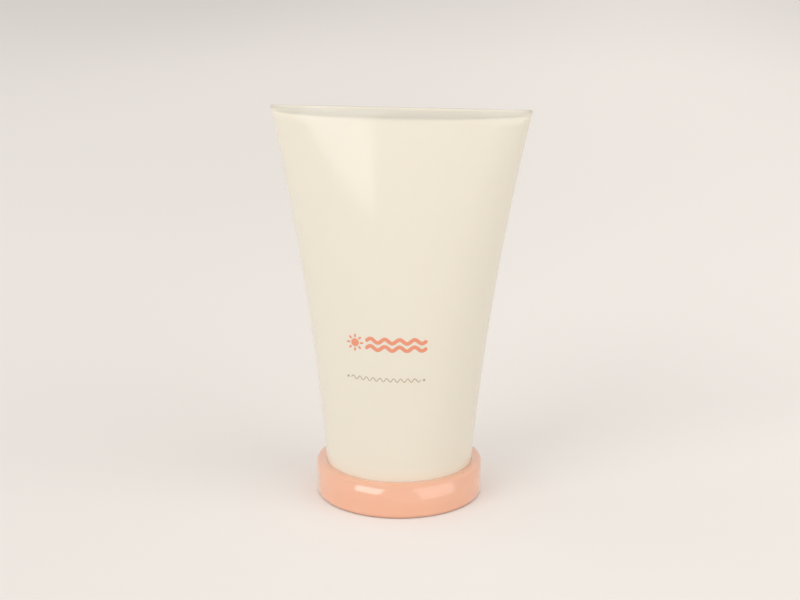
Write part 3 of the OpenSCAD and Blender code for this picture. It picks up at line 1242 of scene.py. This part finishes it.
@dataclass
class NeckAssembly:
    """What the tube is closed with: its moulded head, the orifice insert and the foil."""

    fits: Fits
    orifice_d: float = 3.6
    foil_overlap: float = 0.2
    thread_stop: float = 0.2
    around: int = 192

    def build(self) -> None:
        """Makes the three pieces at the neck."""
        self.head()
        self.orifice()
        self.foil()

    def head(self) -> bpy.types.Object:
        """Makes the skirt, shoulder plate and threaded neck as one moulding."""
        fits = self.fits
        skirt_inner = fits.skirt_r - fits.skirt_wall
        skirt_top = fits.shoulder_top + fits.skirt_h
        step_z = fits.lip_z + fits.orifice_len
        outline = softened(
            [
                (fits.neck_bore_r, fits.lip_z, 0.15),
                (fits.neck_r, fits.lip_z, 0.2),
                (fits.neck_r, fits.shoulder_z, 0.3),
                (skirt_inner, fits.shoulder_z, 0.2),
                (skirt_inner, fits.sleeve_z, 0.15),
                (fits.skirt_r, fits.sleeve_z, 0.15),
                (fits.skirt_r, skirt_top, 0.2),
                (skirt_inner, skirt_top, 0.2),
                (skirt_inner, fits.shoulder_top, 0.3),
                (fits.ledge_r, fits.shoulder_top, 0.15),
                (fits.ledge_r, step_z, 0.08),
                (fits.neck_bore_r, step_z, 0.08),
            ]
        )
        head = turned("threaded_head", outline, self.around)
        turns = fits.thread_turns(fits.shoulder_z - self.thread_stop)
        ridge = thread_ridge(fits, fits.neck_r, Side.OUTWARDS, turns, 0)
        fuse(head, [ridge.mesh("head_ridge")])
        smooth(head, SHARP_ABOVE)
        finish = PlainMoulding(seen(241, 237, 226), seen(234, 229, 216))
        return dress(head, finish.build("head_plastic"), Body.TUBE, "tube_head")

    def orifice(self) -> bpy.types.Object:
        """Makes the plug in the neck, with its dished disc and the hole through it."""
        fits = self.fits
        low = fits.lip_z + fits.orifice_set
        high = fits.lip_z + fits.orifice_len - fits.bond_gap
        disc_top = low + fits.orifice_disc_t
        hole = self.orifice_d / 2
        funnel_h, funnel_w = 0.15, 0.5
        outline = softened(
            [
                (hole, low + funnel_h, 0.1),
                (hole + funnel_w, low, 0.2),
                (fits.plug_r, low, 0.2),
                (fits.plug_r, high, 0.15),
                (fits.plug_bore_r, high, 0.15),
                (fits.plug_bore_r, disc_top, 0.3),
                (hole, disc_top, 0.25),
            ]
        )
        plug = turned("orifice_plug", outline, self.around)
        finish = PlainMoulding(seen(244, 244, 241), seen(238, 237, 233))
        return dress(plug, finish.build("orifice_plastic"), Body.TUBE, "orifice_insert")

    def foil(self) -> bpy.types.Object:
        """Makes the foil, drawn in a little over the open neck and pressed flat on its lip."""
        fits = self.fits
        radius = fits.neck_r + self.foil_overlap
        low, high = fits.foil_z, fits.foil_z + fits.foil_t
        sag, pressed = 0.05, 0.09
        sag_from, sag_to, step_in = 0.4, 1.4, 0.6
        outline = softened(
            [
                (0.0, low + sag, 0),
                (fits.neck_bore_r - sag_to, low + sag, 0.02),
                (fits.neck_bore_r - sag_from, low, 0.02),
                (radius, low, 0.03),
                (radius, low + pressed, 0.02),
                (fits.neck_bore_r, low + pressed, 0.01),
                (fits.neck_bore_r - step_in, high, 0.01),
                (0.0, high, 0),
            ],
            3,
        )
        disc = turned("lid_foil", outline, self.around)
        return dress(disc, Foil().build("seal_foil"), Body.TUBE, "foil_seal")


@dataclass
class TubeAssembly:
    """The squeezable tube and the lotion in it."""

    fits: Fits
    shape: TubeShape
    fill_z: float = 70.5

    def build(self) -> None:
        """Makes the sleeve and its contents."""
        self.sleeve()
        self.lotion()

    def sleeve(self) -> bpy.types.Object:
        """Makes the thin wall, outer and inner face, closed at the welded tail."""
        outer = self.shape.skin(self.fits.sleeve_z, 0.0)
        inner = self.shape.skin(self.fits.sleeve_z, self.fits.sleeve_wall)
        solid = Solid()
        numbered = solid.loft(list(reversed(outer)) + inner)
        solid.close_flat(numbered[0])
        solid.close_flat(numbered[-1])
        sleeve = solid.mesh("squeeze_sleeve", 40)
        lean_shading(sleeve, self.shape.tail_shading)
        return dress(sleeve, Lacquer().build("cream_lacquer"), Body.TUBE, "tube_sleeve")

    def lotion(self) -> bpy.types.Object:
        """Makes the lotion, which clings a little higher to the wall than in its middle."""
        fits = self.fits
        gap = fits.lotion_gap
        inset = fits.sleeve_wall + gap
        skirt_top = fits.shoulder_top + fits.skirt_h + gap
        steps = [
            (fits.plug_bore_r - gap, fits.lip_z + fits.orifice_set + fits.orifice_disc_t + gap),
            (fits.plug_bore_r - gap, fits.lip_z + fits.orifice_len + gap),
            (fits.ledge_r - gap, fits.lip_z + fits.orifice_len + gap),
            (fits.ledge_r - gap, fits.shoulder_top + gap),
            (fits.skirt_r - fits.skirt_wall - gap, fits.shoulder_top + gap),
            (fits.skirt_r - fits.skirt_wall - gap, skirt_top),
        ]
        rows = [self.shape.oval(r, r, 1, z) for r, z in steps]
        rows += self.shape.wall(skirt_top, self.fill_z, inset, 40)
        dip = 0.8
        rim = rows[-1]
        for share in (0.97, 0.92, 0.8, 0.6, 0.35, 0.12):
            sunk = self.fill_z - dip * (1 - share**6)
            rows.append([(x * share, y * share, sunk) for x, y, _ in rim])
        solid = Solid()
        solid.bar(rows)
        lotion = solid.mesh("sun_cream")
        return dress(lotion, Cream().build("white_lotion"), Body.TUBE, "sun_lotion")


@dataclass
class PrintedMarks:
    """Two rows of plain decoration printed on the front: a sun over waves, and a fine line."""

    shape: TubeShape
    row_w: float = 16.5
    row_z: float = 37.4
    fine_z: float = 29.9
    middle_x: float = -0.9
    ink_t: float = 0.03
    sunk: float = 0.02
    sun_in: float = 1.75
    sun_r: float = 0.85
    ray_count: int = 8
    ray_reach: Pair = (1.28, 1.6)
    ray_w: float = 0.42
    wave_in: float = 2.6
    wave_apart: float = 0.78
    wave_size: Pair = (3.06, 0.42)
    wave_w: float = 0.78
    wave_steps: int = 20
    dot_r: float = 0.25
    dot_steps: int = 40
    fine_in: float = 1.0
    fine_size: Pair = (1.45, 0.36)
    fine_w: float = 0.17

    def build(self) -> None:
        """Makes both rows."""
        self.sun_and_waves()
        self.fine_row()

    def stroke(self, solid: Solid, line: Sequence[Pair], width: float) -> None:
        """Lays a stroke of ink along a line on the front.

        Args:
            solid: What the stroke is added to.
            line: Places across and up that it runs through.
            width: Its width.
        """
        path = np.array(line)
        ways = np.gradient(path, axis=0)
        ways /= np.linalg.norm(ways, axis=1)[:, None]
        half = width / 2
        rounding = [math.radians(angle) for angle in (82, 65, 45, 22)]
        stops = [(path[0] - ways[0] * half * math.sin(a), ways[0], math.cos(a)) for a in rounding]
        stops += [(place, way, 1.0) for place, way in zip(path, ways)]
        end, onward = path[-1], ways[-1]
        stops += [(end + onward * half * math.sin(a), onward, math.cos(a)) for a in reversed(rounding)]
        rows = []
        for (x, z), (dx, dz), share in stops:
            side = half * share
            flat, low = side * 0.8, self.ink_t * 0.5
            section = [
                (-side, -self.sunk),
                (-side, low),
                (-flat, self.ink_t),
                (0.0, self.ink_t),
                (flat, self.ink_t),
                (side, low),
                (side, -self.sunk),
                (0.0, -self.sunk),
            ]
            rows.append([self.shape.front(x - dz * off, z + dx * off, up) for off, up in section])
        solid.bar(rows)

    def disc(self, solid: Solid, x: float, z: float, radius: float) -> None:
        """Lays a round dot of ink on the front."""
        low, half, high = -self.sunk, self.ink_t / 2, self.ink_t
        angles = angles_round(self.dot_steps)
        rows = []
        for share, up in ((0.02, low), (1.0, low), (1.0, half), (0.94, high), (0.5, high), (0.02, high)):
            reach = radius * share
            places = [(x + reach * math.cos(a), z + reach * math.sin(a)) for a in angles]
            rows.append([self.shape.front(*place, up) for place in places])
        solid.bar(rows)

    def wave(self, start: float, end: float, z: float, length: float, height: float) -> list[Pair]:
        """Gives places along a wave.

        Args:
            start: Where it starts across the front.
            end: Where it ends.
            z: Its middle height.
            length: Distance from crest to crest.
            height: How far its crests rise above its middle.

        Returns:
            Places across and up.
        """
        count = max(8, round((end - start) / length * self.wave_steps))
        xs = [start + (end - start) * i / count for i in range(count + 1)]
        return [(x, z + height * math.sin(2 * math.pi * (x - start) / length)) for x in xs]

    def sun_and_waves(self) -> bpy.types.Object:
        """Makes the bold coral row: a sun with short rays, and two waves beside it."""
        solid = Solid()
        half = self.row_w / 2
        sun_x = self.middle_x - half + self.sun_in
        self.disc(solid, sun_x, self.row_z, self.sun_r)
        near, far = self.ray_reach
        for angle in angles_round(self.ray_count):
            across, up = math.cos(angle), math.sin(angle)
            ray = [(sun_x + r * across, self.row_z + r * up) for r in (near, (near + far) / 2, far)]
            self.stroke(solid, ray, self.ray_w)
        for rise in (-self.wave_apart, self.wave_apart):
            line = self.wave(sun_x + self.wave_in, self.middle_x + half, self.row_z + rise, *self.wave_size)
            self.stroke(solid, line, self.wave_w)
        marks = solid.mesh("sun_and_waves_print", 40)
        ink = Ink(seen(238, 158, 128), seen(235, 151, 121))
        return dress(marks, ink.build("coral_ink"), Body.TUBE)

    def fine_row(self) -> bpy.types.Object:
        """Makes the fine warm grey row: a thin wave between two small dots."""
        solid = Solid()
        half = self.row_w / 2
        for side in (-1, 1):
            self.disc(solid, self.middle_x + side * (half - self.dot_r), self.fine_z, self.dot_r)
        start, end = self.middle_x - half + self.fine_in, self.middle_x + half - self.fine_in
        self.stroke(solid, self.wave(start, end, self.fine_z, *self.fine_size), self.fine_w)
        marks = solid.mesh("fine_wave_print", 40)
        ink = Ink(seen(190, 172, 150), seen(182, 163, 141))
        return dress(marks, ink.build("grey_ink"), Body.TUBE)


# Studio


@dataclass(frozen=True)
class Softbox:
    """A rectangular lamp that faces the part, placed by its direction from it."""

    name: str
    azimuth: float
    elevation: float
    distance: float
    width: float
    height: float
    power: float
    colour: Colour = (1.0, 1.0, 1.0)
    mirrored: bool = True


@dataclass
class Studio:
    """Pale paper, soft lamps and the camera."""

    aim_z: float = 0.043
    camera_azimuth: float = 7.64
    camera_distance: float = 0.32274
    camera_z: float = 0.12852
    lens: float = 70.02
    shift_x: float = 0.00044
    roll: float = 0.17
    world_colour: Colour = (1.0, 0.99, 0.975)
    world_strength: float = 0.5
    horizon_strength: float = 0.85
    lamps: tuple[Softbox, ...] = (
        Softbox("key", -36, 24, 1.2, 0.80, 0.78, 5.9, (0.99, 0.99, 1.0)),
        Softbox("fill", 62, 25, 1.3, 1.25, 1.18, 4.7, (1.0, 0.985, 0.975)),
        Softbox("left", -98, 18, 1.3, 1.2, 1.2, 2.6, (1.0, 0.985, 0.965), False),
        Softbox("right", 78, 18, 1.3, 1.2, 1.2, 2.7, (1.0, 0.985, 0.965), False),
        Softbox("top", 0, 88, 1.5, 1.8, 1.8, 2.0, (1.0, 0.99, 0.975), False),
    )

    def build(self) -> None:
        """Makes the paper, the lamps, the surrounding light and the camera."""
        self.paper()
        self.surround()
        for lamp in self.lamps:
            self.lamp(lamp)
        self.camera()
        bpy.context.scene.view_settings.view_transform = "Standard"

    def paper(self) -> None:
        """Lays a wide round sheet under the part, fine near it and coarse far out."""
        count = 96
        radii = (30, 60, 120, 250, 500, 1000, 2000, 4000)
        work = bmesh.new()
        hub = work.verts.new((0, 0, 0))
        last: list[bmesh.types.BMVert] = []
        angles = angles_round(count)
        for radius in radii:
            ring = [work.verts.new((radius * MM * math.cos(a), radius * MM * math.sin(a), 0)) for a in angles]
            for k in range(count):
                after = (k + 1) % count
                outer = (ring[k], ring[after])
                work.faces.new((last[k], *outer, last[after]) if last else (hub, *outer))
            last = ring
        data = bpy.data.meshes.new("paper")
        work.to_mesh(data)
        work.free()
        sheet = bpy.data.objects.new("paper", data)
        bpy.context.scene.collection.objects.link(sheet)
        data.materials.append(PaperSweep().build("pale_paper"))

    def surround(self) -> None:
        """Surrounds the part with even light, seen and mirrored a little paler than it lights."""
        world = bpy.data.worlds.new("surround")
        world.use_nodes = True
        tree = world.node_tree
        light = tree.nodes["Background"]
        light.inputs["Color"].default_value = (*self.world_colour, 1)
        path = tree.nodes.new("ShaderNodeLightPath")
        direct = tree.nodes.new("ShaderNodeMath")
        direct.operation = "MAXIMUM"
        tree.links.new(path.outputs["Is Camera Ray"], direct.inputs[0])
        tree.links.new(path.outputs["Is Glossy Ray"], direct.inputs[1])
        level = tree.nodes.new("ShaderNodeMapRange")
        level.inputs["To Min"].default_value = self.world_strength
        level.inputs["To Max"].default_value = self.horizon_strength
        tree.links.new(direct.outputs[0], level.inputs["Value"])
        tree.links.new(level.outputs["Result"], light.inputs["Strength"])
        bpy.context.scene.world = world

    def lamp(self, box: Softbox) -> None:
        """Hangs one softbox.

        Args:
            box: Its direction, size and power.
        """
        data = bpy.data.lights.new(box.name, "AREA")
        data.shape = "RECTANGLE"
        data.size = box.width
        data.size_y = box.height
        data.energy = box.power
        data.color = box.colour
        lamp = bpy.data.objects.new(box.name, data)
        bpy.context.scene.collection.objects.link(lamp)
        across, up = math.radians(box.azimuth), math.radians(box.elevation)
        way = Vector((math.sin(across) * math.cos(up), -math.cos(across) * math.cos(up), math.sin(up)))
        lamp.location = Vector((0, 0, self.aim_z)) + way * box.distance
        lamp.rotation_euler = (-way).to_track_quat("-Z", "Y").to_euler()
        lamp.visible_camera = False
        lamp.visible_glossy = box.mirrored

    def camera(self) -> None:
        """Sets the camera in front of the part, a little to the right and above."""
        data = bpy.data.cameras.new("camera")
        data.lens = self.lens
        data.sensor_width = 36
        data.shift_x = self.shift_x
        data.clip_start = 0.01
        camera = bpy.data.objects.new("camera", data)
        bpy.context.scene.collection.objects.link(camera)
        azimuth = math.radians(self.camera_azimuth)
        out = self.camera_distance
        camera.location = (out * math.sin(azimuth), -out * math.cos(azimuth), self.camera_z)
        way = Vector((0, 0, self.aim_z)) - camera.location
        tilt = Quaternion((0, 0, 1), math.radians(self.roll))
        camera.rotation_euler = (way.to_track_quat("-Z", "Y") @ tilt).to_euler()
        bpy.context.scene.camera = camera


def main() -> None:
    """Builds every sub-assembly, then the studio."""
    logging.basicConfig(level=logging.INFO, format="%(name)s: %(message)s")
    fits = Fits()
    shape = TubeShape(fits)
    CapAssembly(fits).build()
    NeckAssembly(fits).build()
    TubeAssembly(fits, shape).build()
    PrintedMarks(shape).build()
    Studio().build()


if __name__ == "__main__":
    main()
